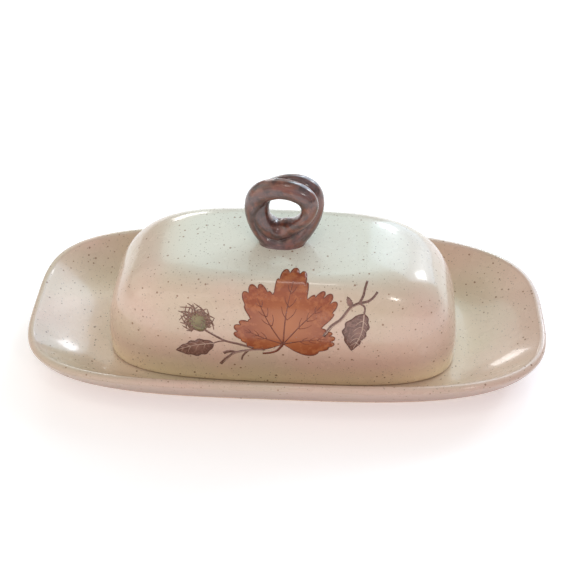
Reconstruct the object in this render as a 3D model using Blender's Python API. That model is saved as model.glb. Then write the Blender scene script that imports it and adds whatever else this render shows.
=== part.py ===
"""Covered butter dish in glazed stoneware.

Three separately formed pieces: an oblong tray with a rounded lip and a foot ring, a domed hollow cover
that stands loose on the tray's floor, and a ring handle of two twisted twig strands on the cover's top.
The tray stands on z = 0 with its length along X and its centre on the origin.
Dimensions are in millimetres and are turned into metres as each mesh is written.
"""
import math

import bmesh
import bpy

MM = 0.001
GAP = 0.3                      # clearance between pieces that touch

# Tray
TRAY_HALF_LENGTH = 125.0
TRAY_HALF_WIDTH = 57.0
TRAY_SQUARENESS = (3.75, 3.25)  # exponents of the outline's left and right ends: 2 is an ellipse
RIM_AT_SIDES = 23.0
RIM_AT_ENDS = 20.2
LIP_RADIUS = 2.0
LIP_START = math.radians(50)   # slope at which the inside curve runs into the rounded lip
TRAY_WALL = 4.4
FLOOR_HEIGHT = 5.4
FLOOR_HALF_LENGTH = 88.0
FLOOR_HALF_WIDTH = 40.5
SWEEP = 1.9                    # exponent of the inside curve that rises from the floor to the lip
BELLY = 1.3                    # exponent of the outer wall's bulge
FOOT_INSET_X = 9.0             # the foot ring's outer edge, in from the rim
FOOT_INSET_Y = 12.5
FOOT_WIDTH = 4.0
FOOT_HEIGHT = 2.4
FOOT_BEVEL = 0.8
FOOT_CORNER = 0.5              # between the foot ring's inner face and the hollow underside

# Cover
COVER_OFFSET = (-2.0, -0.3)    # the loose cover is set down a little off centre and a little turned
COVER_TURN = math.radians(-0.8)
COVER_HALF_LENGTH = 84.6
COVER_HALF_WIDTH = 38.2
COVER_SQUARENESS = (3.8, 3.8)
COVER_HEIGHT = 55.0
COVER_WALL = 4.4
TOP_INSET_X = 49.3             # the flat of the top, in from the bottom edge
TOP_INSET_Y = 18.7
SHOULDER = 2.65                # exponent of the shoulder's curve
CROWN = 0.7
EDGE_ROUND = 1.2

# Handle
RING_HALF_WIDTH = 12.1         # of the ring's centre line
RING_HALF_HEIGHT = 14.2
RING_NARROWING = 0.245         # it is wider above its middle and narrower below by this fraction
EYE_WIDENING = 1.2             # rounds out the bottom of the ring's eye, which the narrowing would pinch
RING_LIFT = 15.8               # its middle above its foot, which is pressed flat against the cover
RING_MIDDLE = (-0.2, 1.7)
RING_TILT = 1.7                # its top leans this far to the right
RING_LEAN = 1.2                # and this far back
# Cosine waves on the two strands: (waves in one trip round the ring, size, place of the first crest)
STRAND_OFFSET = 2.9            # each strand's centre, from the ring's centre line
OFFSET_WAVES = ((1.0, 1.2, 110), (2.0, 0.55, 47))
MOST_APART = 0.93              # the offset is never more than this fraction of the thinner strand's radius
STRAND_RADIUS = 4.4            # one twig makes both strands, so its half waves close after two trips
RADIUS_WAVES = ((0.5, 0.62, 90), (1.0, -0.32, 20), (1.5, 0.69, -38))
TWIST_START = math.radians(90)
TWIST_WAVES = ((1.0, math.radians(23), 165), (2.0, math.radians(22), -16))

PLAN_SEGMENTS = 64
RING_SEGMENTS = 72
STRAND_SEGMENTS = 32

COVER_BOTTOM = FLOOR_HEIGHT + GAP
COVER_TOP = COVER_BOTTOM + COVER_HEIGHT + CROWN


def remove_everything():
    for item in list(bpy.data.objects):
        bpy.data.objects.remove(item)


def make_material(name, color, roughness):
    made = bpy.data.materials.new(name)
    made.use_nodes = True
    shader = made.node_tree.nodes["Principled BSDF"]
    shader.inputs["Base Color"].default_value = (*color, 1.0)
    shader.inputs["Roughness"].default_value = roughness
    shader.inputs["Metallic"].default_value = 0.0
    return made


def outline(half_length, half_width, squareness):
    """Points once round a rounded oblong, whose left and right ends each have their own squareness."""
    points = []
    for index in range(PLAN_SEGMENTS):
        turn = 2 * math.pi * index / PLAN_SEGMENTS
        along, across = math.cos(turn), math.sin(turn)
        power = squareness[0] if along < 0 else squareness[1]
        reach = (abs(along) ** power + abs(across) ** power) ** (-1 / power)
        points.append((half_length * reach * along, half_width * reach * across))
    return points


def tray_outline(half_length, half_width):
    return outline(half_length, half_width, TRAY_SQUARENESS)


def on_cover(x, y, z):
    """A point given about the cover's own middle, where the cover stands on the tray."""
    turned_x = x * math.cos(COVER_TURN) - y * math.sin(COVER_TURN)
    turned_y = x * math.sin(COVER_TURN) + y * math.cos(COVER_TURN)
    return COVER_OFFSET[0] + turned_x, COVER_OFFSET[1] + turned_y, z


def cover_ring(half_length, half_width, height):
    return [on_cover(x, y, height) for x, y in outline(half_length, half_width, COVER_SQUARENESS)]


def quarter_curve(exponent, steps):
    """(sideways, upward) fractions along a rounded quarter, from (0, 0) upright to (1, 1) level."""
    curve = []
    for step in range(steps + 1):
        angle = math.pi / 2 * step / steps
        curve.append((1 - math.cos(angle) ** (2 / exponent), math.sin(angle) ** (2 / exponent)))
    return curve


def make_object(name, rings, caps, finish, shift=0):
    """One closed body from a stack of rings.

    With caps, a fan closes each end. Without, the last ring joins the first, turned on by shift points.
    """
    shape = bmesh.new()
    rows = [[shape.verts.new([value * MM for value in point]) for point in ring] for ring in rings]
    count = len(rings[0])
    pairs = list(zip(rows, rows[1:]))
    if not caps:
        pairs.append((rows[-1], rows[0][shift:] + rows[0][:shift]))
    for row, next_row in pairs:
        for index in range(count):
            after = (index + 1) % count
            shape.faces.new((row[index], row[after], next_row[after], next_row[index]))
    for row, centre in zip((rows[0], rows[-1]), caps):
        tip = shape.verts.new([value * MM for value in centre])
        for index in range(count):
            shape.faces.new((row[index], row[(index + 1) % count], tip))
    bmesh.ops.recalc_face_normals(shape, faces=shape.faces)
    mesh = bpy.data.meshes.new(name)
    shape.to_mesh(mesh)
    shape.free()
    mesh.shade_smooth()
    mesh.set_sharp_from_angle(angle=math.radians(50))
    mesh.materials.append(finish)
    bpy.context.collection.objects.link(bpy.data.objects.new(name, mesh))


def rim_height(x):
    """The lip dips a little towards the tray's two ends."""
    return RIM_AT_SIDES + (RIM_AT_ENDS - RIM_AT_SIDES) * (x / TRAY_HALF_LENGTH) ** 2


def lip_place(angle):
    """Inset from the rim and drop below it on the rounded lip, angle in from the lip's highest line."""
    return LIP_RADIUS * (1 + math.sin(angle)), LIP_RADIUS * (1 - math.cos(angle))


def inside_outline(spread):
    """Half length and half width of the inside, from the flat floor at 0 to the lip at 1."""
    inset, _ = lip_place(LIP_START)
    half_length = FLOOR_HALF_LENGTH + spread * (TRAY_HALF_LENGTH - inset - FLOOR_HALF_LENGTH)
    half_width = FLOOR_HALF_WIDTH + spread * (TRAY_HALF_WIDTH - inset - FLOOR_HALF_WIDTH)
    return half_length, half_width


def inside_height(x, spread):
    _, drop = lip_place(LIP_START)
    return FLOOR_HEIGHT + (rim_height(x) - drop - FLOOR_HEIGHT) * spread ** SWEEP


def spread_at(x, y):
    """How far out on the inside curve a point in plan lies, found by halving."""
    power = TRAY_SQUARENESS[0] if x < 0 else TRAY_SQUARENESS[1]
    low, high = 0.0, 1.0
    for _ in range(24):
        middle = (low + high) / 2
        half_length, half_width = inside_outline(middle)
        if abs(x / half_length) ** power + abs(y / half_width) ** power > 1:
            low = middle
        else:
            high = middle
    return high if high > 1e-6 else 0.0


def tray_inside_rings():
    middle = tray_outline(FLOOR_HALF_LENGTH / 2, FLOOR_HALF_WIDTH / 2)
    rings = [[(x, y, FLOOR_HEIGHT) for x, y in middle]]
    for step in range(8):
        spread = step / 8
        points = tray_outline(*inside_outline(spread))
        rings.append([(x, y, inside_height(x, spread)) for x, y in points])
    return rings


def tray_lip_rings():
    rings = []
    steps = 6
    for step in range(steps + 1):
        inset, drop = lip_place(LIP_START - (LIP_START + math.pi / 2) * step / steps)
        points = tray_outline(TRAY_HALF_LENGTH - inset, TRAY_HALF_WIDTH - inset)
        rings.append([(x, y, rim_height(x) - drop) for x, y in points])
    return rings


def tray_outside_rings():
    rings = []
    for sideways, downward in quarter_curve(BELLY, 7)[1:]:
        points = tray_outline(TRAY_HALF_LENGTH - sideways * FOOT_INSET_X,
                              TRAY_HALF_WIDTH - sideways * FOOT_INSET_Y)
        ring = []
        for x, y in points:
            wall_top = rim_height(x) - LIP_RADIUS
            ring.append((x, y, wall_top - downward * (wall_top - FOOT_HEIGHT)))
        rings.append(ring)
    return rings


def tray_underside_rings():
    """The foot ring's flat, then the hollow inside it, which follows the tray's inside."""
    rings = []
    foot = ((0, FOOT_BEVEL), (FOOT_BEVEL, 0), (FOOT_WIDTH - FOOT_BEVEL, 0), (FOOT_WIDTH, FOOT_BEVEL))
    for inward, height in foot:
        points = tray_outline(TRAY_HALF_LENGTH - FOOT_INSET_X - inward,
                              TRAY_HALF_WIDTH - FOOT_INSET_Y - inward)
        rings.append([(x, y, height) for x, y in points])
    half_length = TRAY_HALF_LENGTH - FOOT_INSET_X - FOOT_WIDTH - FOOT_CORNER
    half_width = TRAY_HALF_WIDTH - FOOT_INSET_Y - FOOT_WIDTH - FOOT_CORNER
    for share in (1.0, 0.94, 0.87, 0.8, 0.6, 0.3):
        points = tray_outline(share * half_length, share * half_width)
        rings.append([(x, y, inside_height(x, spread_at(x, y)) - TRAY_WALL) for x, y in points])
    return rings


def make_tray(finish):
    rings = tray_inside_rings() + tray_lip_rings() + tray_outside_rings() + tray_underside_rings()
    caps = ((0, 0, FLOOR_HEIGHT), (0, 0, FLOOR_HEIGHT - TRAY_WALL))
    make_object("tray", rings, caps, finish)


def cover_wall_rings(thinner, steps):
    """Rings from the top's crown down to the bottom edge, for a wall that is so much thinner all round."""
    half_length = COVER_HALF_LENGTH - thinner
    half_width = COVER_HALF_WIDTH - thinner
    height = COVER_HEIGHT - thinner
    rings = []
    for share in (0.4, 0.75):
        top = COVER_BOTTOM + height + CROWN * (1 - share ** 2)
        rings.append(cover_ring(share * (half_length - TOP_INSET_X), share * (half_width - TOP_INSET_Y), top))
    for sideways, upward in reversed(quarter_curve(SHOULDER, steps)[1:]):
        rings.append(cover_ring(half_length - sideways * TOP_INSET_X, half_width - sideways * TOP_INSET_Y,
                                COVER_BOTTOM + upward * height))
    return rings


def cover_edge_rings():
    """The rounded bottom edge, from its inner corner to its outer one."""
    rings = []
    soft = EDGE_ROUND * (1 - math.sqrt(0.5))
    for inward, height in ((COVER_WALL, EDGE_ROUND), (COVER_WALL - soft, soft), (COVER_WALL - EDGE_ROUND, 0),
                           (EDGE_ROUND, 0), (soft, soft), (0, EDGE_ROUND)):
        rings.append(cover_ring(COVER_HALF_LENGTH - inward, COVER_HALF_WIDTH - inward, COVER_BOTTOM + height))
    return rings


def make_cover(finish):
    outside = list(reversed(cover_wall_rings(0.0, 11)))
    rings = cover_wall_rings(COVER_WALL, 9) + cover_edge_rings() + outside
    caps = (on_cover(0, 0, COVER_TOP - COVER_WALL), on_cover(0, 0, COVER_TOP))
    make_object("cover", rings, caps, finish)


def waves(terms, travel):
    """The sum of cosine waves, each given as its rate, its size and its phase in degrees."""
    return sum(size * math.cos(rate * travel - math.radians(phase)) for rate, size, phase in terms)


def handle_section(travel):
    """How far the two strands' skin reaches from the centre line, once round: (outward, forward) pairs."""
    twist = TWIST_START + travel / 2 + waves(TWIST_WAVES, travel)
    first = STRAND_RADIUS + waves(RADIUS_WAVES, travel)
    second = STRAND_RADIUS + waves(RADIUS_WAVES, travel + 2 * math.pi)
    offset = min(STRAND_OFFSET + waves(OFFSET_WAVES, travel), MOST_APART * min(first, second))
    section = []
    for step in range(STRAND_SEGMENTS):
        turn = 2 * math.pi * step / STRAND_SEGMENTS
        shift = offset * math.cos(turn)
        side = offset * math.sin(turn)
        reach = max(shift + math.sqrt(first ** 2 - side ** 2), -shift + math.sqrt(second ** 2 - side ** 2))
        section.append((reach * math.cos(twist + turn), reach * math.sin(twist + turn)))
    return section


def make_handle(finish):
    """A ring standing across the dish's width, whose section is two round strands side by side.

    The pair turns half over in one trip round the ring, so the last section joins the first half a turn on.
    """
    base = COVER_TOP + GAP
    rings = []
    for index in range(RING_SEGMENTS):
        travel = 2 * math.pi * index / RING_SEGMENTS
        narrowing = 1 + RING_NARROWING * math.cos(travel)
        widening = EYE_WIDENING * ((1 - math.cos(travel)) / 2) ** 2
        ring = []
        for outward, forward in handle_section(travel):
            spread = narrowing + widening * (min(0, outward) / RING_HALF_WIDTH) ** 2
            x = (RING_HALF_WIDTH + outward) * spread * math.sin(travel) + RING_TILT * math.cos(travel)
            y = RING_LEAN * math.cos(travel) - forward
            z = RING_LIFT + (RING_HALF_HEIGHT + outward) * math.cos(travel)
            ring.append(on_cover(RING_MIDDLE[0] + x, RING_MIDDLE[1] + y, base + max(0, z)))
        rings.append(ring)
    make_object("handle", rings, (), finish, STRAND_SEGMENTS // 2)


def main():
    remove_everything()
    speckled_glaze = make_material("speckled_glaze", (0.62, 0.53, 0.42), 0.25)
    twig_glaze = make_material("twig_glaze", (0.22, 0.09, 0.06), 0.15)
    make_tray(speckled_glaze)
    make_cover(speckled_glaze)
    make_handle(twig_glaze)


main()
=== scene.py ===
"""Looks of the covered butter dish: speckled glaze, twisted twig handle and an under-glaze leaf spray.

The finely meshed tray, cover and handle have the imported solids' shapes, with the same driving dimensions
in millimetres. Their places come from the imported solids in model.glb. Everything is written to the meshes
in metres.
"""
import math

import bmesh
import bpy
import numpy as np
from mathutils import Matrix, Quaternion, Vector, geometry, noise


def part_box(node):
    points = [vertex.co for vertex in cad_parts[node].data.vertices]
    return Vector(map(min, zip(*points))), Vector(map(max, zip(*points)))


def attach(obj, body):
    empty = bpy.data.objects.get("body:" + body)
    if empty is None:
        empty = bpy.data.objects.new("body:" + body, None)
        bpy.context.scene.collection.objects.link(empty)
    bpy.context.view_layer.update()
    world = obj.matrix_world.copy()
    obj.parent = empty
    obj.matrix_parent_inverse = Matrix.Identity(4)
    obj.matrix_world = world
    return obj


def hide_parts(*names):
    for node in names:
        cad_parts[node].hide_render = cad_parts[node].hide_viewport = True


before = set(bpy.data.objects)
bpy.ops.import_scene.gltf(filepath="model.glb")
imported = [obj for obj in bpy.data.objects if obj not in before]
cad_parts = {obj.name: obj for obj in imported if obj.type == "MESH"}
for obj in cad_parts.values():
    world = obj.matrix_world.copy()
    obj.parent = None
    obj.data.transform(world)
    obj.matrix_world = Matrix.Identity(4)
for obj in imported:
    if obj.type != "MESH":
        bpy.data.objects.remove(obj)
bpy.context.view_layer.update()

MM = 0.001

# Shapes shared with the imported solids
LIP_RADIUS = 2.0
LIP_START = math.radians(50)      # slope at which the inside runs into the rounded lip
TRAY_SQUARENESS = (3.75, 3.25)
RIM_DIP = 2.8                     # the lip is this much lower at the two ends
TRAY_WALL = 4.4
FLOOR_HEIGHT = 5.4
FLOOR_HALF_LENGTH = 88.0
FLOOR_HALF_WIDTH = 40.5
SWEEP = 1.9
BELLY = 1.3
FOOT_INSET_X = 9.0
FOOT_INSET_Y = 12.5
FOOT_WIDTH = 4.0
FOOT_HEIGHT = 2.4
FOOT_BEVEL = 0.8
FOOT_CORNER = 0.5                 # between the foot ring's inner face and the hollow underside
COVER_TURN = math.radians(-0.8)
COVER_HALF_LENGTH = 84.6
COVER_HALF_WIDTH = 38.2
COVER_SQUARENESS = (3.8, 3.8)
COVER_WALL = 4.4
TOP_INSET_X = 49.3
TOP_INSET_Y = 18.7
SHOULDER = 2.65
CROWN = 0.7
EDGE_ROUND = 1.2
RING_HALF_WIDTH = 12.1            # of the ring's centre line
RING_HALF_HEIGHT = 14.2
RING_NARROWING = 0.245            # it is wider above its middle and narrower below by this fraction
EYE_WIDENING = 1.2                # rounds out the bottom of the ring's eye, which the narrowing would pinch
RING_LIFT = 15.8                  # its middle above its foot
RING_MIDDLE = (-0.2, 1.7)
RING_TILT = 1.7                   # its top leans this far to the right
RING_LEAN = 1.2                   # and this far back
# Cosine waves on the two strands: (waves in one trip round the ring, size, place of the first crest)
STRAND_OFFSET = 2.9               # each strand's centre, from the ring's centre line
OFFSET_WAVES = ((1.0, 1.2, 110), (2.0, 0.55, 47))
MOST_APART = 0.93                 # the offset is never more than this fraction of the thinner strand's radius
STRAND_RADIUS = 4.4               # one twig makes both strands, so its half waves close after two trips
RADIUS_WAVES = ((0.5, 0.62, 90), (1.0, -0.32, 20), (1.5, 0.69, -38))
TWIST_START = math.radians(90)
TWIST_WAVES = ((1.0, math.radians(23), 165), (2.0, math.radians(22), -16))

HANDLE_SUNK = 0.15                # the handle's foot reaches this far into the cover's crown
FILLET_SPREAD = 0.09              # the slip round the foot widens it by this fraction
FILLET_RISE = 0.55                # and fades over this height
CREASE_WIDTH = 1.6                # difference in reach over which the painted shade in the groove between the strands fades

# Fine surface
PLAN_SEGMENTS = 288
RING_SEGMENTS = 360
STRAND_SEGMENTS = 112
UNEVEN_DEPTH = 0.10               # slow unevenness of hand-finished ware
UNEVEN_SIZE = 34.0
BARK_DEPTH = 0.12
BARK_LOOP = 16.0                  # the bark's pattern is read on a ring of this size
BARK_ROUND = 12.0                 # and this thickness
BARK_RIDGES = (6.5, 0.9)          # size and strength of the broad ridges
BARK_LINES = (2.6, 0.45)          # and of the finer lines
DECAL_LIFT = 0.05                 # the fired print stands this far out of the glaze
DECAL_DEPTH = 0.10
DECAL_PITCH = 1.2

# Linear colours and gloss
GLAZE_GREENISH = (0.60, 0.50, 0.37)
GLAZE_PINKISH = (0.66, 0.49, 0.39)
GLAZE_MOTTLE = (0.73, 0.62, 0.51)
# Pooled glaze at the cover's foot, its colour made brighter than the glaze as a painted fill light that lifts
# the shaded trough; fainter on the tray's floor.
GLAZE_POOLED_AND_FILL = (0.95, 0.84, 0.56)
# Thinner glaze over the brown clay, made darker still as painted shade on the tray's lip and on its outer
# wall, which faces down toward the table.
GLAZE_THIN_AND_SHADE = (0.25, 0.142, 0.112)
# Thicker glaze on the cover's top, paler and cooler also as a painted sheen of the bright light from above.
GLAZE_THICK_AND_SHEEN = (0.70, 0.72, 0.62)
BARE_CLAY = (0.50, 0.34, 0.22)
SPECK_GREY = (0.25, 0.20, 0.14)
SPECK_BROWN = (0.24, 0.13, 0.07)
SPECKS = (                        # tint, size of the cells, radius, share of the cells, strength
    (SPECK_GREY, 0.9, 0.15, 0.8, 0.5),
    (SPECK_GREY, 1.8, 0.27, 0.8, 0.75),
    (SPECK_BROWN, 3.2, 0.42, 0.95, 0.9),
)
SPECK_WANDER = 0.25               # how far specks are pulled out of round, in millimetres
GLAZE_ROUGHNESS = 0.26
GLAZE_COAT = 0.5
COAT_ROUGHNESS = 0.07
DRYNESS = 0.45                    # added roughness where the glaze is thinnest or missing
PEEL_DEPTH = 0.008
RIPPLE_DEPTH = 0.016
TWIG_RED = (0.185, 0.060, 0.035)
TWIG_PURPLE = (0.110, 0.058, 0.054)
TWIG_TAN = (0.30, 0.15, 0.095)
# Dark glaze patches at random, and the painted shade in the groove between the strands.
TWIG_DARK_AND_SHADE = (0.022, 0.010, 0.008)

# The print's colours: darker and lighter wash, and the size of the wash's streaks
PRINT_COLOURS = {
    "rust": ((0.26, 0.056, 0.020), (0.50, 0.185, 0.065), 3.4),
    "rust_line": ((0.15, 0.035, 0.016), (0.25, 0.065, 0.03), 3.0),
    "mauve": ((0.125, 0.06, 0.045), (0.32, 0.18, 0.14), 1.1),
    "pale_line": ((0.42, 0.28, 0.22), (0.62, 0.46, 0.36), 3.0),
    "olive": ((0.12, 0.095, 0.04), (0.30, 0.25, 0.11), 1.5),
    "dark_line": ((0.09, 0.035, 0.026), (0.20, 0.09, 0.07), 1.2),
    "brown": ((0.15, 0.075, 0.05), (0.36, 0.21, 0.15), 1.2),
}

# Staging
TABLE_COLOUR = (0.95, 0.95, 0.95)
TABLE_GLOW = 0.28
TABLE_HALF_SIDE = 6.0             # metres
ROOM_COLOUR = (1.0, 1.0, 1.0)
ROOM_RADIANCE = 0.33
# Lights: name, azimuth from the front toward the right, elevation, width, height (degrees), radiance, tint
WINDOWS = (
    ("window_back_right", 146, 24, 42, 44, 2.5, (0.60, 0.80, 1.0)),
    ("window_pane", 163, 27, 8, 10, 10.8, (0.89, 0.92, 1.0)),
    ("window_side_pane", 131, 24, 8, 14, 12.0, (0.95, 0.98, 1.0)),
    ("window_back_left", -162, 18, 12, 9, 7.6, (1.0, 1.0, 1.0)),
    ("window_front_right", 39, 34, 5, 5, 28.0, (1.0, 0.97, 0.92)),
    ("window_above", -4, 82, 9, 7, 5.0, (1.0, 0.97, 0.92)),
    ("ceiling_back", 180, 41, 60, 22, 1.15, (0.73, 1.0, 1.0)),
    ("room_front", 0, 35, 80, 40, 0.5, (1.0, 0.66, 0.72)),
    ("room_front_high", 0, 65, 60, 40, 0.36, (1.0, 0.86, 0.80)),
    ("room_front_left", -45, 14, 60, 26, 0.95, (1.0, 0.90, 0.85)),
    ("room_left", -90, 35, 60, 50, 0.72, (0.97, 1.0, 0.86)),
    ("room_right", 90, 35, 60, 50, 0.21, (0.93, 0.81, 1.0)),
    ("table_front", 0, 7, 110, 14, 0.25, (1.0, 0.65, 0.65)),
)
WINDOW_DISTANCE = 2.0             # metres from the origin
CAMERA_LIFT = 43.0                # degrees above the table
CAMERA_SWING = 2.63               # degrees to the right of the front
CAMERA_ROLL = 0.10                # degrees
CAMERA_AIM = (0.18, 0.0, 31.66)
CAMERA_DISTANCE = 500.0
CAMERA_LENS = 64.55

# Places from the imported solids in model.glb, in millimetres
tray_low, tray_high = [np.array(corner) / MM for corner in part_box("tray")]
cover_low, cover_high = [np.array(corner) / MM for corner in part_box("cover")]
TRAY_HALF_LENGTH = (tray_high[0] - tray_low[0]) / 2
TRAY_HALF_WIDTH = (tray_high[1] - tray_low[1]) / 2
RIM_AT_SIDES = tray_high[2]
COVER_OFFSET = (cover_low[:2] + cover_high[:2]) / 2
COVER_BOTTOM = cover_low[2]
COVER_TOP = cover_high[2]
COVER_HEIGHT = COVER_TOP - CROWN - COVER_BOTTOM
HANDLE_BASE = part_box("handle")[0][2] / MM


# ---------------------------------------------------------------- surfaces from stacks of rings

def outline(half_length, half_width, squareness):
    """Plan points once round a rounded oblong, whose left and right ends each have their own squareness."""
    turn = np.linspace(0, 2 * math.pi, PLAN_SEGMENTS, endpoint=False)
    along, across = np.cos(turn), np.sin(turn)
    power = np.where(along < 0, squareness[0], squareness[1])
    reach = (np.abs(along) ** power + np.abs(across) ** power) ** (-1 / power)
    return np.stack([half_length * reach * along, half_width * reach * across], axis=1)


def at_height(points, height):
    """Plan points with a height added, which is one for all or one for each."""
    return np.column_stack([points, np.broadcast_to(height, len(points))])


def quarter_curve(exponent, steps):
    """(sideways, upward) fractions along a rounded quarter, from (0, 0) upright to (1, 1) level."""
    angle = np.linspace(0, math.pi / 2, steps + 1)
    return list(zip(1 - np.cos(angle).clip(0) ** (2 / exponent), np.sin(angle).clip(0) ** (2 / exponent)))


def stack_faces(ring_count, segments, closed, shift=0):
    """Quads between neighbouring rings, and between the last and the first one where the stack is closed."""
    column = np.arange(segments)
    after = (column + 1) % segments
    faces = []
    for ring in range(ring_count if closed else ring_count - 1):
        lower = ring * segments
        if ring == ring_count - 1:
            upper, here, there = 0, (column + shift) % segments, (after + shift) % segments
        else:
            upper, here, there = lower + segments, column, after
        faces.extend(np.stack([lower + column, lower + after, upper + there, upper + here], axis=1).tolist())
    return faces


def add_piece(name, points, faces, material, marks=None):
    """A smooth mesh object from points in millimetres; marks are named values, one for each point."""
    mesh = bpy.data.meshes.new(name)
    mesh.from_pydata((np.asarray(points) * MM).tolist(), [], faces)
    for label, values in (marks or {}).items():
        values = np.asarray(values, dtype=np.float32)
        kind = "FLOAT_VECTOR" if values.ndim == 2 else "FLOAT"
        attribute = mesh.attributes.new(label, kind, "POINT")
        attribute.data.foreach_set("vector" if values.ndim == 2 else "value", values.ravel())
    mesh.validate()
    solid = bmesh.new()
    solid.from_mesh(mesh)
    bmesh.ops.recalc_face_normals(solid, faces=solid.faces)
    solid.to_mesh(mesh)
    solid.free()
    mesh.shade_smooth()
    mesh.materials.append(material)
    piece = bpy.data.objects.new(name, mesh)
    bpy.context.collection.objects.link(piece)
    return piece


def uneven(points):
    """Slow in-and-out of a hand-finished surface, in millimetres, at each point."""
    return np.array([noise.noise(Vector(point) / UNEVEN_SIZE) for point in points]) * UNEVEN_DEPTH


class Stack:
    """Rings in order, each marked with how its glaze lies and how uneven its clay is.

    The marks are fractions: thinner glaze with painted shade, pooled glaze with a painted fill light, thicker
    glaze with a painted sheen, missing (bare) glaze, and waver for the unevenness.
    """

    def __init__(self):
        self.rings = []
        self.marks = {"thin": [], "pool": [], "thick": [], "bare": [], "waver": []}

    def add(self, ring, waver=1.0, **marks):
        self.rings.append(ring)
        for label, values in self.marks.items():
            values.append(waver if label == "waver" else marks.get(label, 0.0))

    def body(self, name, caps, material):
        """A closed body from the rings with a fan at each end, pushed slightly in and out."""
        points = np.concatenate(self.rings + [np.array(caps, dtype=float)])
        faces = stack_faces(len(self.rings), PLAN_SEGMENTS, closed=False)
        first_tip, last_tip = len(points) - 2, len(points) - 1
        last_ring = (len(self.rings) - 1) * PLAN_SEGMENTS
        for column in range(PLAN_SEGMENTS):
            after = (column + 1) % PLAN_SEGMENTS
            faces.append([after, column, first_tip])
            faces.append([last_ring + column, last_ring + after, last_tip])
        marks = {}
        for label, per_ring in self.marks.items():
            marks[label] = np.append(np.repeat(per_ring, PLAN_SEGMENTS), [per_ring[0], per_ring[-1]])
        waver = marks.pop("waver")
        piece = add_piece(name, points, faces, material, marks)
        normals = np.zeros(len(points) * 3, dtype=np.float32)
        piece.data.vertices.foreach_get("normal", normals)
        points += normals.reshape(-1, 3) * (uneven(points) * waver)[:, None]
        piece.data.vertices.foreach_set("co", (points * MM).ravel())
        piece.data.update()
        return piece


def turned_to_cover(points):
    """Points about the cover's own middle, moved to where the cover stands on the tray."""
    points = np.asarray(points, dtype=float)
    x, y = points[..., 0], points[..., 1]
    placed = points.copy()
    placed[..., 0] = COVER_OFFSET[0] + x * math.cos(COVER_TURN) - y * math.sin(COVER_TURN)
    placed[..., 1] = COVER_OFFSET[1] + x * math.sin(COVER_TURN) + y * math.cos(COVER_TURN)
    return placed


# ---------------------------------------------------------------- tray

def rim_height(x):
    """Height of the lip's top, which dips toward the tray's two ends."""
    return RIM_AT_SIDES - RIM_DIP * (x / TRAY_HALF_LENGTH) ** 2


def lip_place(angle):
    """Inset from the rim's widest line and drop below the lip's top, at an angle in from the lip's top."""
    return LIP_RADIUS * (1 + math.sin(angle)), LIP_RADIUS * (1 - math.cos(angle))


def inside_outline(spread):
    """Half length and half width of the tray's inside, from the floor's edge (0) out to the lip (1)."""
    inset, _ = lip_place(LIP_START)
    half_length = FLOOR_HALF_LENGTH + spread * (TRAY_HALF_LENGTH - inset - FLOOR_HALF_LENGTH)
    half_width = FLOOR_HALF_WIDTH + spread * (TRAY_HALF_WIDTH - inset - FLOOR_HALF_WIDTH)
    return half_length, half_width


def inside_height(x, spread):
    """Height of the tray's inside at the same spread, where the plan point is at x."""
    _, drop = lip_place(LIP_START)
    return FLOOR_HEIGHT + (rim_height(x) - drop - FLOOR_HEIGHT) * spread ** SWEEP


def spread_at(points):
    """How far out on the inside curve each point in plan lies, found by halving."""
    power = np.where(points[:, 0] < 0, TRAY_SQUARENESS[0], TRAY_SQUARENESS[1])
    low, high = np.zeros(len(points)), np.ones(len(points))
    for _ in range(24):
        middle = (low + high) / 2
        half_length, half_width = inside_outline(middle)
        outside = np.abs(points[:, 0] / half_length) ** power + np.abs(points[:, 1] / half_width) ** power > 1
        low, high = np.where(outside, middle, low), np.where(outside, high, middle)
    return np.where(high > 1e-6, high, 0.0)


def add_tray_inside(stack):
    for share in np.linspace(0.06, 0.96, 14):
        floor = outline(share * FLOOR_HALF_LENGTH, share * FLOOR_HALF_WIDTH, TRAY_SQUARENESS)
        # Pooled glaze on the floor, whose bright colour is partly painted fill light.
        stack.add(at_height(floor, FLOOR_HEIGHT), pool=0.3, waver=0.2)
    for spread in np.linspace(0, 1, 44):
        points = outline(*inside_outline(spread), TRAY_SQUARENESS)
        height = inside_height(points[:, 0], spread)
        waver = min(1.0, 0.2 + 2 * spread)
        stack.add(at_height(points, height), pool=0.3 * (1 - spread), waver=waver)


def add_tray_lip(stack):
    for angle in np.linspace(LIP_START, -math.pi / 2, 17)[1:]:
        inset, drop = lip_place(angle)
        points = outline(TRAY_HALF_LENGTH - inset, TRAY_HALF_WIDTH - inset, TRAY_SQUARENESS)
        # Thinner glaze with painted shade, darker down the outside of the lip.
        thin = 0.1 + 0.35 * drop / LIP_RADIUS
        stack.add(at_height(points, rim_height(points[:, 0]) - drop), thin=thin, waver=0.6)


def add_tray_outside(stack):
    for sideways, downward in quarter_curve(BELLY, 26)[1:]:
        half_length = TRAY_HALF_LENGTH - sideways * FOOT_INSET_X
        half_width = TRAY_HALF_WIDTH - sideways * FOOT_INSET_Y
        points = outline(half_length, half_width, TRAY_SQUARENESS)
        wall_top = rim_height(points[:, 0]) - LIP_RADIUS
        height = wall_top - downward * (wall_top - FOOT_HEIGHT)
        # Thinner glaze with painted shade, darker down the belly toward the foot.
        stack.add(at_height(points, height), thin=0.45 + 0.55 * math.sqrt(downward), waver=1 - downward)


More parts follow.
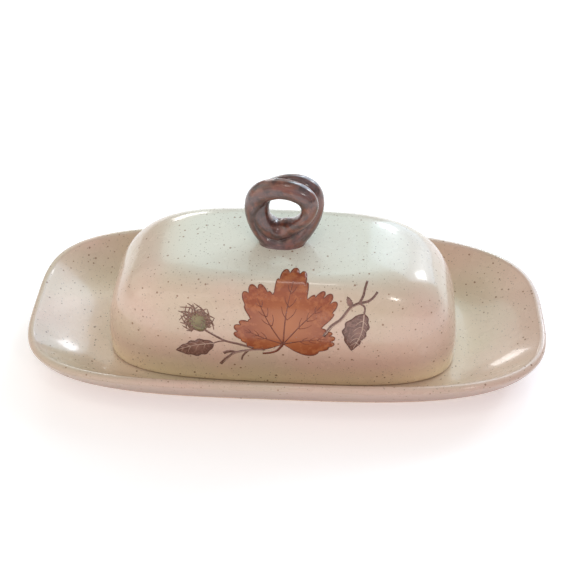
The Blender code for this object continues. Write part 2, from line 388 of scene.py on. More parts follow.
def add_tray_underside(stack):
    """The foot ring's bare flat, then the glazed hollow inside it, which follows the tray's inside."""
    corner = np.linspace(0, math.pi / 2, 5)
    outer = [(FOOT_BEVEL * (1 - math.cos(turn)), FOOT_BEVEL * (1 - math.sin(turn))) for turn in corner]
    inner = [(FOOT_WIDTH - inward, height) for inward, height in reversed(outer)]
    half_length = TRAY_HALF_LENGTH - FOOT_INSET_X
    half_width = TRAY_HALF_WIDTH - FOOT_INSET_Y
    for inward, height in outer + inner:
        points = outline(half_length - inward, half_width - inward, TRAY_SQUARENESS)
        stack.add(at_height(points, height), bare=1.0 if height < 0.6 * FOOT_BEVEL else 0.0, waver=0.0)
    half_length = half_length - FOOT_WIDTH - FOOT_CORNER
    half_width = half_width - FOOT_WIDTH - FOOT_CORNER
    for share in np.append(np.linspace(1.0, 0.76, 16), np.linspace(0.7, 0.06, 11)):
        points = outline(share * half_length, share * half_width, TRAY_SQUARENESS)
        height = inside_height(points[:, 0], spread_at(points)) - TRAY_WALL
        stack.add(at_height(points, height), waver=0.4)


def make_tray(material):
    stack = Stack()
    add_tray_inside(stack)
    add_tray_lip(stack)
    add_tray_outside(stack)
    add_tray_underside(stack)
    tray = stack.body("tray_ware", ((0, 0, FLOOR_HEIGHT), (0, 0, FLOOR_HEIGHT - TRAY_WALL)), material)
    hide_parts("tray")
    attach(tray, "tray")


# ---------------------------------------------------------------- cover

def cover_ring(half_length, half_width, height):
    points = outline(half_length, half_width, COVER_SQUARENESS)
    return turned_to_cover(at_height(points, height))


def cover_wall_rings(thinner, steps):
    """(ring, fraction of the height) from the crown of the top down to the bottom edge."""
    half_length = COVER_HALF_LENGTH - thinner
    half_width = COVER_HALF_WIDTH - thinner
    height = COVER_HEIGHT - thinner
    rings = []
    for share in np.linspace(0.06, 0.94, 12):
        top = COVER_BOTTOM + height + CROWN * (1 - share ** 2)
        ring = cover_ring(share * (half_length - TOP_INSET_X), share * (half_width - TOP_INSET_Y), top)
        rings.append((ring, 1.0))
    for sideways, upward in reversed(quarter_curve(SHOULDER, steps)[1:]):
        ring = cover_ring(half_length - sideways * TOP_INSET_X, half_width - sideways * TOP_INSET_Y,
                          COVER_BOTTOM + upward * height)
        rings.append((ring, upward))
    return rings


def add_cover_edge(stack):
    """The rounded bottom edge from its inner corner to its outer one, bare where it stands on the tray."""
    corner = np.linspace(0, math.pi / 2, 5)
    outer = [(EDGE_ROUND * (1 - math.sin(turn)), EDGE_ROUND * (1 - math.cos(turn))) for turn in corner]
    inner = [(COVER_WALL - inward, height) for inward, height in reversed(outer)]
    for inward, height in inner + outer:
        ring = cover_ring(COVER_HALF_LENGTH - inward, COVER_HALF_WIDTH - inward, COVER_BOTTOM + height)
        # Pooled glaze on the edge, brightened as painted fill light.
        stack.add(ring, pool=0.8, bare=1.0 if height < 0.4 * EDGE_ROUND else 0.0, waver=0.0)


def make_cover(material):
    stack = Stack()
    for ring, upward in cover_wall_rings(COVER_WALL, 40):
        stack.add(ring, waver=min(1.0, 3 * upward))
    add_cover_edge(stack)
    for ring, upward in reversed(cover_wall_rings(0.0, 72)):
        # Pooled glaze brightened as painted fill light at the foot; thicker glaze with a painted sheen on the
        # top.
        stack.add(ring, pool=max(0.0, 1 - upward / 0.25), thick=upward ** 24, waver=min(1.0, 3 * upward))
    caps = turned_to_cover([(0, 0, COVER_TOP - COVER_WALL), (0, 0, COVER_TOP)])
    cover = stack.body("cover_ware", caps, material)
    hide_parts("cover")
    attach(cover, "cover")


# ---------------------------------------------------------------- handle

def waves(terms, travel):
    """The sum of cosine waves, each given as its rate, its size and its phase in degrees."""
    return sum(size * np.cos(rate * travel - math.radians(phase)) for rate, size, phase in terms)


def bark_place(travel, turn):
    """A point of the twig's skin in a pattern space that closes on itself, drawn out along the twig."""
    out = BARK_LOOP + BARK_ROUND * np.cos(turn)
    return np.stack([out * np.cos(travel / 2), out * np.sin(travel / 2), BARK_ROUND * np.sin(turn)], axis=-1)


def bark_relief(places):
    """Ridges along the twig, with a few finer lines, from about -1 to 1."""
    elsewhere = Vector((7.0, 3.0, 1.0))
    relief = []
    for place in places:
        ridges = noise.noise(Vector(place) / BARK_RIDGES[0])
        lines = 1 - 2 * abs(noise.noise(Vector(place) / BARK_LINES[0] + elsewhere))
        relief.append(BARK_RIDGES[1] * ridges + BARK_LINES[1] * lines)
    return np.array(relief)


def handle_skin(travel, turn):
    """The joined strands' reach from the ring's centre line, with the bark's places and the painted shade of
    the groove between them.
    """
    first = STRAND_RADIUS + waves(RADIUS_WAVES, travel)
    second = STRAND_RADIUS + waves(RADIUS_WAVES, travel + 2 * math.pi)
    furthest = MOST_APART * np.minimum(first, second)
    offset = np.minimum(STRAND_OFFSET + waves(OFFSET_WAVES, travel), furthest)
    shift, side = offset * np.cos(turn), offset * np.sin(turn)
    reach_first = shift + np.sqrt(first ** 2 - side ** 2)
    reach_second = -shift + np.sqrt(second ** 2 - side ** 2)
    on_first = reach_first > reach_second
    reach = np.maximum(reach_first, reach_second)
    along = reach * np.cos(turn) * np.where(on_first, 1, -1) - offset
    around = reach * np.sin(turn) * np.where(on_first, 1, -1)
    places = bark_place(travel + np.where(on_first, 0, 2 * math.pi), np.arctan2(around, along))
    crease_shade = 1 - np.minimum(1, np.abs(reach_first - reach_second) / CREASE_WIDTH)
    return reach, places.reshape(-1, 3), crease_shade.ravel()


def ring_points(travel, outward, forward):
    """Points round the ring, each so far outward and forward of the ring's centre line."""
    foot = COVER_TOP - HANDLE_SUNK
    height = np.maximum(foot, HANDLE_BASE + RING_LIFT + (RING_HALF_HEIGHT + outward) * np.cos(travel))
    fillet = 1 + FILLET_SPREAD * np.exp(-(height - foot) / FILLET_RISE)
    narrowing = 1 + RING_NARROWING * np.cos(travel)
    widening = EYE_WIDENING * ((1 - np.cos(travel)) / 2) ** 2
    spread = narrowing + widening * (np.minimum(0, outward) / RING_HALF_WIDTH) ** 2
    x = RING_TILT * np.cos(travel) + (RING_HALF_WIDTH + outward) * spread * np.sin(travel)
    y = RING_LEAN * np.cos(travel) - forward
    x = RING_MIDDLE[0] + x * fillet
    y = RING_MIDDLE[1] + y * fillet
    return np.stack([x, y, height], axis=-1).reshape(-1, 3)


def make_handle(material):
    """The ring of two twisted strands, as imported, with a bark relief and a small slip fillet at its foot.
    """
    travel = np.linspace(0, 2 * math.pi, RING_SEGMENTS, endpoint=False)[:, None]
    turn = np.linspace(0, 2 * math.pi, STRAND_SEGMENTS, endpoint=False)[None, :]
    reach, places, crease_shade = handle_skin(travel, turn)
    reach = reach + BARK_DEPTH * bark_relief(places).reshape(reach.shape)
    twist = TWIST_START + travel / 2 + waves(TWIST_WAVES, travel)
    points = ring_points(travel, reach * np.cos(twist + turn), reach * np.sin(twist + turn))
    faces = stack_faces(RING_SEGMENTS, STRAND_SEGMENTS, closed=True, shift=STRAND_SEGMENTS // 2)
    marks = {"bark": places, "crease_shade": crease_shade}
    handle = add_piece("twig_handle", turned_to_cover(points), faces, material, marks)
    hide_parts("handle")
    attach(handle, "cover")


# ---------------------------------------------------------------- materials

class Nodes:
    """A material's shader nodes, built by calls that add nodes and give the output for the next call."""

    def __init__(self, name):
        self.material = bpy.data.materials.new(name)
        self.material.use_nodes = True
        self.tree = self.material.node_tree
        self.tree.nodes.clear()

    def add(self, kind, inputs, **settings):
        node = self.tree.nodes.new("ShaderNode" + kind)
        for label, value in settings.items():
            setattr(node, label, value)
        for label, value in inputs.items():
            if isinstance(value, bpy.types.NodeSocket):
                self.tree.links.new(value, node.inputs[label])
            else:
                node.inputs[label].default_value = value
        return node

    def place(self):
        """The point of the surface in its own object, in millimetres."""
        coordinates = self.add("TexCoord", {}).outputs["Object"]
        return self.add("VectorMath", {"Vector": coordinates, "Scale": 1 / MM}, operation="SCALE").outputs[0]

    def mark(self, name):
        return self.add("Attribute", {}, attribute_name=name).outputs["Fac"]

    def mark_place(self, name):
        return self.add("Attribute", {}, attribute_name=name).outputs["Vector"]

    def noise(self, place, size, detail=2.0, roughness=0.5):
        inputs = {"Vector": place, "Scale": 1 / size, "Detail": detail, "Roughness": roughness}
        return self.add("TexNoise", inputs).outputs["Fac"]

    def math(self, operation, first, second=0.0):
        return self.add("Math", {0: first, 1: second}, operation=operation).outputs[0]

    def rise(self, value, low, high, start=0.0, end=1.0):
        """Smooth change from start to end while the value goes from low to high."""
        inputs = {"Value": value, "From Min": low, "From Max": high, "To Min": start, "To Max": end}
        return self.add("MapRange", inputs, interpolation_type="SMOOTHSTEP").outputs[0]

    def mix(self, share, first, second):
        first = (*first, 1) if isinstance(first, tuple) else first
        second = (*second, 1) if isinstance(second, tuple) else second
        return self.add("Mix", {0: share, 6: first, 7: second}, data_type="RGBA").outputs[2]

    def bump(self, height, depth, normal=None):
        """Relief whose height runs from 0 to 1, over a depth in millimetres."""
        inputs = {"Height": height, "Distance": depth * MM, "Strength": 1.0}
        if normal:
            inputs["Normal"] = normal
        return self.add("Bump", inputs).outputs[0]

    def surface(self, **inputs):
        labelled = {}
        for label, value in inputs.items():
            labelled[label.replace("_", " ").title().replace("Ior", "IOR")] = value
        shader = self.add("BsdfPrincipled", labelled)
        output = self.add("OutputMaterial", {"Surface": shader.outputs[0]})
        output.is_active_output = True
        return self.material


def add_specks(nodes, place, colour, tint, cell, radius, share, strength):
    """Round specks in the glaze: one in a share of the cells, each with its own size."""
    cells = nodes.add("TexVoronoi", {"Vector": place, "Scale": 1 / cell})
    chance = nodes.add("SeparateColor", {"Color": cells.outputs["Color"]})
    size = nodes.math("MULTIPLY", nodes.math("ADD", chance.outputs["Red"], 0.5), radius / cell)
    near = nodes.math("DIVIDE", cells.outputs["Distance"], size)
    speck = nodes.rise(near, 0.6, 1.15, strength, 0.0)
    shown = nodes.math("LESS_THAN", chance.outputs["Green"], share)
    return nodes.mix(nodes.math("MULTIPLY", speck, shown), colour, tint)


def speckled_glaze():
    """Satin cream glaze with iron specks over brown clay, greenish and pinkish in broad drifts, darker and
    pinker where thinner (partly painted shade), brightened where pooled (painted fill light) and paler on the
    cover's top (thicker glaze and a painted sheen).
    """
    nodes = Nodes("speckled_glaze")
    place = nodes.place()
    drift = nodes.rise(nodes.noise(place, 38, detail=1.5), 0.35, 0.65)
    colour = nodes.mix(drift, GLAZE_GREENISH, GLAZE_PINKISH)
    mottle = nodes.rise(nodes.noise(place, 2.4, detail=2, roughness=0.6), 0.2, 0.8, 0.0, 0.14)
    colour = nodes.mix(mottle, colour, GLAZE_MOTTLE)
    # Pooled glaze, brightened as painted fill light where the cover's foot sits in shade.
    colour = nodes.mix(nodes.math("MULTIPLY", nodes.mark("pool"), 0.8), colour, GLAZE_POOLED_AND_FILL)
    thin = nodes.mark("thin")
    # Thinner glaze with painted shade: darker and pinker on the lip and the tray's outer wall.
    colour = nodes.mix(nodes.math("MULTIPLY", thin, 0.85), colour, GLAZE_THIN_AND_SHADE)
    # Thicker glaze with a painted sheen: paler and cooler on the cover's top.
    colour = nodes.mix(nodes.math("MULTIPLY", nodes.mark("thick"), 0.8), colour, GLAZE_THICK_AND_SHEEN)
    wander = nodes.add("TexNoise", {"Vector": place, "Scale": 1.6, "Detail": 1.0})
    shift = nodes.add("VectorMath", {0: wander.outputs["Color"], "Scale": SPECK_WANDER}, operation="SCALE")
    bent = nodes.add("VectorMath", {0: place, 1: shift.outputs[0]}, operation="ADD").outputs[0]
    for tint, cell, radius, share, strength in SPECKS:
        colour = add_specks(nodes, bent, colour, tint, cell, radius, share, strength)
    bare = nodes.mark("bare")
    colour = nodes.mix(bare, colour, BARE_CLAY)
    ripple = nodes.noise(place, 7.0, detail=1.0)
    peel = nodes.noise(place, 1.3, detail=2.0)
    relief = nodes.bump(peel, PEEL_DEPTH, normal=nodes.bump(ripple, RIPPLE_DEPTH))
    gloss = nodes.rise(nodes.noise(place, 11.0), 0.3, 0.7, GLAZE_ROUGHNESS - 0.04, GLAZE_ROUGHNESS + 0.04)
    dry = nodes.math("MAXIMUM", bare, nodes.rise(thin, 0.45, 1.0, 0.0, 0.8))
    roughness = nodes.math("ADD", gloss, nodes.math("MULTIPLY", dry, DRYNESS))
    coat = nodes.math("MULTIPLY", nodes.math("SUBTRACT", 1.0, dry), GLAZE_COAT)
    return nodes.surface(base_color=colour, roughness=roughness, normal=relief, coat_weight=coat,
                         coat_roughness=COAT_ROUGHNESS, coat_normal=relief)


def twig_glaze():
    """Glassy red-brown glaze with purple-grey and tan streaks that run along the twisted twig, and painted
    shade in the groove between its strands.
    """
    nodes = Nodes("twig_glaze")
    place = nodes.place()
    bark = nodes.mark_place("bark")
    broad = nodes.rise(nodes.noise(bark, 9.0, detail=2.5), 0.40, 0.62)
    colour = nodes.mix(broad, TWIG_RED, TWIG_PURPLE)
    fine = nodes.rise(nodes.noise(bark, 2.6, detail=3, roughness=0.6), 0.54, 0.72)
    colour = nodes.mix(nodes.math("MULTIPLY", fine, 0.5), colour, TWIG_TAN)
    break_up = nodes.rise(nodes.noise(place, 4.0, detail=3), 0.42, 0.66, 0.0, 0.7)
    colour = nodes.mix(break_up, colour, TWIG_DARK_AND_SHADE)
    # Painted shade darkens the groove between the two strands.
    colour = nodes.mix(nodes.math("MULTIPLY", nodes.mark("crease_shade"), 0.75), colour, TWIG_DARK_AND_SHADE)
    lines = nodes.noise(bark, 0.9, detail=3.0, roughness=0.6)
    pits = nodes.noise(place, 0.8, detail=2.0)
    relief = nodes.bump(pits, 0.008, normal=nodes.bump(lines, 0.05))
    return nodes.surface(base_color=colour, roughness=0.35, specular_ior_level=0.25, normal=relief,
                         coat_weight=1.0, coat_ior=1.70, coat_roughness=0.06, coat_normal=relief)


def print_colour(name):
    """One colour of the under-glaze print, watery and uneven, with a few specks of the glaze over it."""
    dark, light, streak_size = PRINT_COLOURS[name]
    nodes = Nodes("print_" + name)
    place = nodes.place()
    wash = nodes.rise(nodes.noise(place, streak_size, detail=3, roughness=0.65), 0.36, 0.66)
    watery = nodes.math("MULTIPLY", wash, 0.65)
    heart = nodes.math("MULTIPLY", nodes.mark("heart"), 0.8)
    colour = nodes.mix(nodes.math("MAXIMUM", watery, heart), dark, light)
    colour = add_specks(nodes, place, colour, SPECK_GREY, cell=1.9, radius=0.24, share=0.7, strength=0.5)
    relief = nodes.bump(nodes.noise(place, 1.3, detail=2.0), 0.012)
    return nodes.surface(base_color=colour, roughness=GLAZE_ROUGHNESS, normal=relief, coat_weight=GLAZE_COAT,
                         coat_roughness=COAT_ROUGHNESS, coat_normal=relief)


# ---------------------------------------------------------------- leaf spray printed on the cover's front

def front_profile():
    """Distance up the cover's front from its bottom edge, and the wall's fractions there, for looking up."""
    curve = np.array(quarter_curve(SHOULDER, 400))
    steps = np.hypot(np.diff(curve[:, 0]) * TOP_INSET_Y, np.diff(curve[:, 1]) * COVER_HEIGHT)
    return np.append(0, np.cumsum(steps)), curve


PROFILE_DISTANCE, PROFILE_CURVE = front_profile()
FRONT_REACH = PROFILE_DISTANCE[-1]


def front_point(x, up):
    """The cover's front surface at x across it and up along it, about the cover's own middle."""
    if up <= FRONT_REACH:
        sideways = np.interp(up, PROFILE_DISTANCE, PROFILE_CURVE[:, 0])
        upward = np.interp(up, PROFILE_DISTANCE, PROFILE_CURVE[:, 1])
        half_length = COVER_HALF_LENGTH - sideways * TOP_INSET_X
        half_width = COVER_HALF_WIDTH - sideways * TOP_INSET_Y
        height = COVER_BOTTOM + upward * COVER_HEIGHT
    else:
        share = 1 - (up - FRONT_REACH) / (COVER_HALF_WIDTH - TOP_INSET_Y)
        half_length = share * (COVER_HALF_LENGTH - TOP_INSET_X)
        half_width = share * (COVER_HALF_WIDTH - TOP_INSET_Y)
        height = COVER_TOP - CROWN * share ** 2
    power = COVER_SQUARENESS[0]
    y = -half_width * max(0.0, 1 - abs(x / half_length) ** power) ** (1 / power)
    return np.array([x, y, height])


def front_place(x, up, lift):
    """A point that stands lift millimetres out of the glaze, on the uneven surface."""
    step = 0.2
    across = front_point(x + step, up) - front_point(x - step, up)
    upwards = front_point(x, up + step) - front_point(x, up - step)
    normal = np.cross(across, upwards)
    normal /= np.linalg.norm(normal)
    point = turned_to_cover(front_point(x, up))
    turned = turned_to_cover(front_point(x, up) + normal) - point
    return point + turned * (lift + uneven([point])[0])


def smooth_curve(points, steps, closed=False):
    """Catmull-Rom curve through points in the plane."""
    points = [np.array(point, dtype=float) for point in points]
    count = len(points)
    curve = []
    for index in range(count if closed else count - 1):
        if closed:
            before, start, end, after = (points[(index + shift) % count] for shift in (-1, 0, 1, 2))
        else:
            before, start = points[max(0, index - 1)], points[index]
            end, after = points[index + 1], points[min(count - 1, index + 2)]
        for step in range(steps):
            t = step / steps
            curve.append(0.5 * (2 * start + (end - before) * t
                                + (2 * before - 5 * start + 4 * end - after) * t ** 2
                                + (3 * start - before - 3 * end + after) * t ** 3))
    if not closed:
        curve.append(points[-1])
    return curve


def inside_loop(loop, x, y):
    """Whether a place lies inside a closed outline, by counting crossings to its right."""
    crossings = 0
    for (x0, y0), (x1, y1) in zip(loop, loop[1:] + loop[:1]):
        if (y0 > y) != (y1 > y) and x < x0 + (y - y0) * (x1 - x0) / (y1 - y0):
            crossings += 1
    return crossings % 2 == 1


class Print:
    """Shapes printed on the cover's front, gathered into one thin closed piece on the glaze."""

    def __init__(self, lift):
        self.lift = lift
        self.points = []
        self.faces = []
        self.heart = []

    def patch(self, loop, heart, heart_size):
        """A filled outline, paler round its heart, meshed finely enough to follow the cover's curve."""
        loop = [tuple(point) for point in loop]
        low, high = np.min(loop, axis=0), np.max(loop, axis=0)
        flat = [Vector(point) for point in loop]
        for x in np.arange(low[0], high[0], DECAL_PITCH):
            for y in np.arange(low[1], high[1], DECAL_PITCH):
                if inside_loop(loop, x, y):
                    flat.append(Vector((x, y)))
        result = geometry.delaunay_2d_cdt(flat, [], [list(range(len(loop)))], 1, 1e-6)
        flat = [tuple(point) for point in result[0]]
        self.thicken(flat, [list(face) for face in result[2]])
        paler = [math.exp(-((x - heart[0]) ** 2 + (y - heart[1]) ** 2) / heart_size ** 2) for x, y in flat]
        self.heart.extend(2 * paler)

    def thicken(self, flat, faces):
        """Adds flat faces as a closed skin: an upper and a lower side, and a rim along the open edges."""
        count, base = len(flat), len(self.points)
        for depth in (self.lift, self.lift - DECAL_DEPTH):
            self.points.extend(front_place(x, up, depth) for x, up in flat)
        for face in faces:
            self.faces.append([base + index for index in face])
            self.faces.append([base + count + index for index in reversed(face)])
        edges = {edge for face in faces for edge in zip(face, face[1:] + face[:1])}
        for start, end in edges:
            if (end, start) not in edges:
                self.faces.append([base + end, base + start, base + count + start, base + count + end])

    def line(self, path, start_width, end_width, steps=8):
        """A tapering stroke through the given places."""
        curve = np.array(smooth_curve(path, steps))
        along = np.gradient(curve, axis=0)
        along /= np.linalg.norm(along, axis=1)[:, None]
        sideways = np.stack([-along[:, 1], along[:, 0]], axis=1)
        half = np.linspace(start_width, end_width, len(curve))[:, None] / 2
        flat = np.stack([curve + sideways * half, curve - sideways * half], axis=1).reshape(-1, 2)
        faces = [[row, row + 1, row + 3, row + 2] for row in range(0, len(flat) - 2, 2)]
        self.thicken([tuple(point) for point in flat], faces)
        self.heart.extend([0.0] * (2 * len(flat)))

    def finish(self, name, material):
        piece = add_piece(name, self.points, self.faces, material, {"heart": self.heart})
        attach(piece, "cover")


def polar(start, angle, distance):
    """The place at a distance from start, at an angle from straight up, toward the right."""
    turn = math.radians(angle)
    return start[0] + distance * math.sin(turn), start[1] + distance * math.cos(turn)


def leaf_loop(base, lobes):
    """Outline of a broad lobed leaf with round teeth.

    The lobes are given as (angle from straight up, length), from left to right.
    """
    outer_gap = 24                    # degrees from the outermost lobes' middles to where the base starts
    base_turn = 26                    # degrees over which the base curves back to the stalk
    angles = [angle for angle, _ in lobes]
    lengths = [length for _, length in lobes]
    gaps = [(right - left) / 2 for left, right in zip(angles, angles[1:])]
    gaps = [outer_gap] + gaps + [outer_gap]
    hollows = [0.35 * (left + right) for left, right in zip(lengths[:1] + lengths, lengths + lengths[-1:])]
    loop = [base]
    for share in np.linspace(0.92, 0, 8):
        reach = hollows[0] * math.sqrt(1 - share ** 2)
        loop.append(polar(base, angles[0] - gaps[0] - base_turn * share, reach))
    for index, (angle, length) in enumerate(lobes):
        teeth = 2.1 + 0.12 * index
        for share in np.linspace(-1, 1, 41)[1:-1]:
            side = index if share < 0 else index + 1
            across_tooth = 2 * ((teeth * abs(share) + 0.5) % 1) - 1
            tooth = math.sqrt(1 - across_tooth ** 2)
            reach = length * (0.87 + 0.13 * tooth) * (1 - 0.20 * share ** 2)
            reach += (hollows[side] - reach) * abs(share) ** 5
            loop.append(polar(base, angle + share * gaps[side], reach))
    for share in np.linspace(0, 0.92, 8):
        reach = hollows[-1] * math.sqrt(1 - share ** 2)
        loop.append(polar(base, angles[-1] + gaps[-1] + base_turn * share, reach))
    return loop


def blade_loop(base, tip, width, sway=0.0):
    """Outline of a plain pointed leaf with a wavy edge, from base to tip."""
    base, tip = np.array(base, dtype=float), np.array(tip, dtype=float)
    along = tip - base
    across = np.array([-along[1], along[0]]) / np.linalg.norm(along)
    left, right = [], []
    for share in np.linspace(0, 1, 22):
        edge_wave = 1 + 0.10 * math.sin(26 * share)
        half = width / 2 * math.sin(math.pi * share ** 0.8) ** 0.85 * edge_wave
        spine = base + along * share + across * sway * math.sin(math.pi * share)
        left.append(spine + across * half)
        right.append(spine - across * half)
    return left + right[-2:0:-1]


def add_maple_leaf(leaf, veins):
    """The big lobed leaf in the middle, with its outline, ribs and side veins."""
    base = (2.2, 25.9)
    lobes = [(-68, 24), (-27, 33), (7, 40), (39, 34), (79, 24)]
    loop = leaf_loop(base, lobes)
    leaf.patch(loop, heart=(3.6, 36.0), heart_size=15)
    veins.line(loop + [loop[0]], 0.4, 0.4, steps=1)
    for angle, length in lobes:
        veins.line([base, polar(base, angle - 3, 0.4 * length), polar(base, angle, 0.8 * length)], 0.7, 0.2)
        for share in (0.34, 0.50, 0.66):
            start = polar(base, angle, share * length)
            for side in (-38, 38):
                reach = 0.23 * length * (1.1 - share)
                middle = polar(start, angle + side, reach * 0.55)
                veins.line([start, middle, polar(start, angle + 0.75 * side, reach)], 0.4, 0.18, steps=4)
    veins.line([base, (-0.4, 22.0), (-3.4, 20.3), (-7.2, 19.6)], 1.3, 1.0)


def add_right_twig(twig, light, ink):
    """A forked twig with two tips and a bud, and a narrow leaf that hangs from the fork."""
    fork = (36.0, 48.5)
    twig.line([(20.6, 31.2), (24.0, 37.0), (28.0, 40.6), (32.1, 46.4), fork], 1.6, 1.3)
    twig.line([fork, (37.6, 51.8), (38.2, 54.6), (39.2, 57.4)], 1.2, 1.0)
    twig.line([fork, (39.8, 49.2), (42.0, 50.6), (43.9, 52.8)], 1.1, 1.0)
    twig.patch(blade_loop((32.6, 46.6), (30.4, 51.6), 2.6), heart=(31.5, 49.0), heart_size=2)
    light.line([(21.4, 32.4), (24.4, 36.8), (28.2, 40.1), (32.4, 46.0), (35.8, 48.0)], 0.45, 0.3)
    hanging = (38.4, 43.4)
    tip = (33.6, 23.6)
    twig.line([fork, (38.4, 46.6), hanging], 0.9, 0.7)
    blade = blade_loop(hanging, tip, 10.6, sway=-1.6)
    twig.patch(blade, heart=(36.4, 33.6), heart_size=3)
    ink.line(blade + blade[:1], 0.5, 0.5, steps=1)
    light.line([hanging, (37.6, 33.6), (34.2, 24.6)], 0.7, 0.25)
    for share in (0.18, 0.34, 0.50, 0.66, 0.80):
        start = (hanging[0] - 3.9 * share, hanging[1] - 19 * share)
        reach = 4.6 * math.sin(math.pi * (0.15 + 0.75 * share))
        light.line([start, polar(start, 130, reach * 0.5), polar(start, 140, reach)], 0.4, 0.15, steps=4)
        light.line([start, polar(start, 240, reach * 0.5), polar(start, 230, reach)], 0.4, 0.15, steps=4)


def add_left_nut(nut, husk, twig):
    """A round nut in a bristly husk, on a curved stalk from the leaf's stem."""
    centre = (-36.6, 36.0)
    kernel = []
    for angle in range(0, 360, 10):
        kernel.append(polar(centre, angle, 5.1 + 0.3 * math.sin(math.radians(5 * angle))))
    nut.patch(kernel, heart=(-37.6, 37.4), heart_size=3.5)
    husk.line(kernel + kernel[:1], 0.45, 0.45, steps=1)
    bristles = 34
    for step in range(bristles):
        angle = -150 + 8.0 * step
        length = 2.0 + 2.6 * math.exp(-((angle + 40) / 45) ** 2) + 1.1 * math.sin(2.4 * step)
        root = polar(centre, angle, 3.9 + 0.7 * math.sin(1.9 * step))
        bend = 14 * math.sin(3.7 * step)
        middle = polar(centre, angle + bend, 5 + 0.4 * length)
        husk.line([root, middle, polar(centre, angle - bend, 5 + length)], 1.0, 0.3, steps=4)
    marks_on_nut = 5
    for step in range(marks_on_nut):
        angle = 60 * step
        start = polar(centre, angle + 60, 1.6)
        middle = polar(start, angle + 110, 1.3)
        husk.line([start, middle, polar(start, angle + 150, 2.2)], 0.4, 0.2, steps=4)
    twig.line([(-33.4, 31.6), (-28.6, 28.6), (-24.1, 26.1), (-18.0, 24.6), (-11.4, 22.6)], 1.0, 1.2)


def add_lower_twigs(twig, light, ink):
    """The low twig with its side bud, and the small leaf at the far left."""
    twig.line([(-6.0, 22.0), (-12.6, 21.4), (-19.8, 19.4), (-24.0, 15.6), (-27.0, 11.6)], 1.0, 1.5)
    twig.line([(-19.4, 19.6), (-22.6, 20.0), (-25.4, 18.7)], 1.4, 1.7)
    twig.line([(-14.0, 21.0), (-16.4, 17.6), (-17.0, 14.8)], 1.2, 0.6)
    blade = blade_loop((-29.9, 24.3), (-47.6, 18.2), 9.0, sway=0.8)
    twig.patch(blade, heart=(-38.0, 21.6), heart_size=3)
    ink.line(blade + blade[:1], 0.5, 0.5, steps=1)
    twig.line([(-24.1, 26.1), (-27.4, 25.6), (-30.2, 24.2)], 0.8, 0.6)
    light.line([(-29.9, 24.3), (-38.6, 22.4), (-46.8, 18.6)], 0.6, 0.25)
    light.line([(-7.4, 21.6), (-13.0, 21.0), (-20.0, 19.0), (-25.8, 12.8)], 0.45, 0.25)
    for share in (0.2, 0.4, 0.6, 0.8):
        start = (-29.9 - 17.7 * share, 24.8 - 5.9 * share)
        reach = 3.9 * math.sin(math.pi * (0.12 + 0.78 * share))
        for angle in (-150, -60):
            middle = polar(start, angle, reach * 0.5)
            light.line([start, middle, polar(start, angle - 10, reach)], 0.35, 0.15, steps=4)


def make_spray():
    """All printed shapes, from the lowest layer to the highest."""
    leaf, veins = Print(DECAL_LIFT), Print(2 * DECAL_LIFT)
    twig, light = Print(1.5 * DECAL_LIFT), Print(2.5 * DECAL_LIFT)
    nut, husk, ink = Print(DECAL_LIFT), Print(2 * DECAL_LIFT), Print(2 * DECAL_LIFT)
    add_maple_leaf(leaf, veins)
    add_right_twig(twig, light, ink)
    add_left_nut(nut, husk, twig)
    add_lower_twigs(twig, light, ink)
    leaf.finish("print_leaf", print_colour("rust"))
    veins.finish("print_leaf_veins", print_colour("rust_line"))
    twig.finish("print_twigs", print_colour("mauve"))
    light.finish("print_twig_veins", print_colour("pale_line"))
    nut.finish("print_nut", print_colour("olive"))
    ink.finish("print_ink", print_colour("dark_line"))
    husk.finish("print_husk", print_colour("brown"))


# ---------------------------------------------------------------- floor, light and camera

def make_floor():
    """A pale table top with a faint glow of its own, so that it reads as white."""
    nodes = Nodes("pale_floor")
    material = nodes.surface(base_color=(*TABLE_COLOUR, 1), roughness=0.8,
                             emission_color=(1, 1, 1, 1), emission_strength=TABLE_GLOW)
    mesh = bpy.data.meshes.new("pale_floor")
    side = TABLE_HALF_SIDE
    corners = [(-side, -side, 0), (side, -side, 0), (side, side, 0), (-side, side, 0)]
    mesh.from_pydata(corners, [], [[0, 1, 2, 3]])
    mesh.materials.append(material)
    floor = bpy.data.objects.new("pale_floor", mesh)
    bpy.context.collection.objects.link(floor)


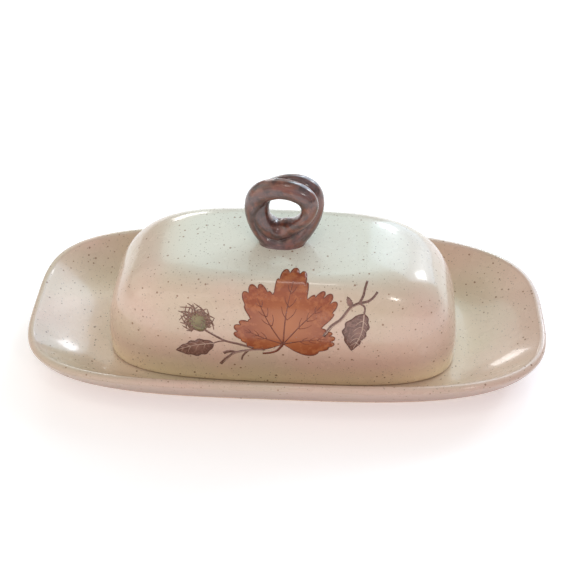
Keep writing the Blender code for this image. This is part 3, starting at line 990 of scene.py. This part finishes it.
def add_window(name, azimuth, elevation, width, height, radiance, tint):
    """A rectangular light seen from the dish in a direction, with its width and height in degrees."""
    azimuth, elevation = math.radians(azimuth), math.radians(elevation)
    toward = Vector((math.sin(azimuth) * math.cos(elevation), -math.cos(azimuth) * math.cos(elevation),
                     math.sin(elevation)))
    light = bpy.data.lights.new(name, "AREA")
    light.shape = "RECTANGLE"
    light.size = 2 * WINDOW_DISTANCE * math.tan(math.radians(width) / 2)
    light.size_y = 2 * WINDOW_DISTANCE * math.tan(math.radians(height) / 2)
    light.energy = radiance * math.pi * light.size * light.size_y
    light.color = tint
    lamp = bpy.data.objects.new(name, light)
    lamp.location = toward * WINDOW_DISTANCE
    lamp.rotation_euler = toward.to_track_quat("Z", "Y").to_euler()
    bpy.context.collection.objects.link(lamp)


def make_lights():
    """An even pale room, and the windows and bright walls in it."""
    world = bpy.data.worlds.new("room")
    world.use_nodes = True
    background = world.node_tree.nodes["Background"]
    background.inputs["Color"].default_value = (*ROOM_COLOUR, 1)
    background.inputs["Strength"].default_value = ROOM_RADIANCE
    bpy.context.scene.world = world
    for window in WINDOWS:
        add_window(*window)


def make_camera():
    """The camera looks down at the dish from the front, close enough for some perspective."""
    lift, swing, roll = (math.radians(angle) for angle in (CAMERA_LIFT, CAMERA_SWING, CAMERA_ROLL))
    back = Vector((math.sin(swing) * math.cos(lift), -math.cos(swing) * math.cos(lift), math.sin(lift)))
    camera = bpy.data.cameras.new("camera")
    camera.lens = CAMERA_LENS
    camera.sensor_width = 36.0
    holder = bpy.data.objects.new("camera", camera)
    level = back.to_track_quat("Z", "Y")
    holder.rotation_euler = (level @ Quaternion((0, 0, 1), roll)).to_euler()
    holder.location = (Vector(CAMERA_AIM) + back * CAMERA_DISTANCE) * MM
    bpy.context.collection.objects.link(holder)
    bpy.context.scene.camera = holder


def main():
    glaze = speckled_glaze()
    make_tray(glaze)
    make_cover(glaze)
    make_handle(twig_glaze())
    make_spray()
    make_floor()
    make_lights()
    make_camera()
    bpy.context.scene.view_settings.view_transform = "Standard"


main()
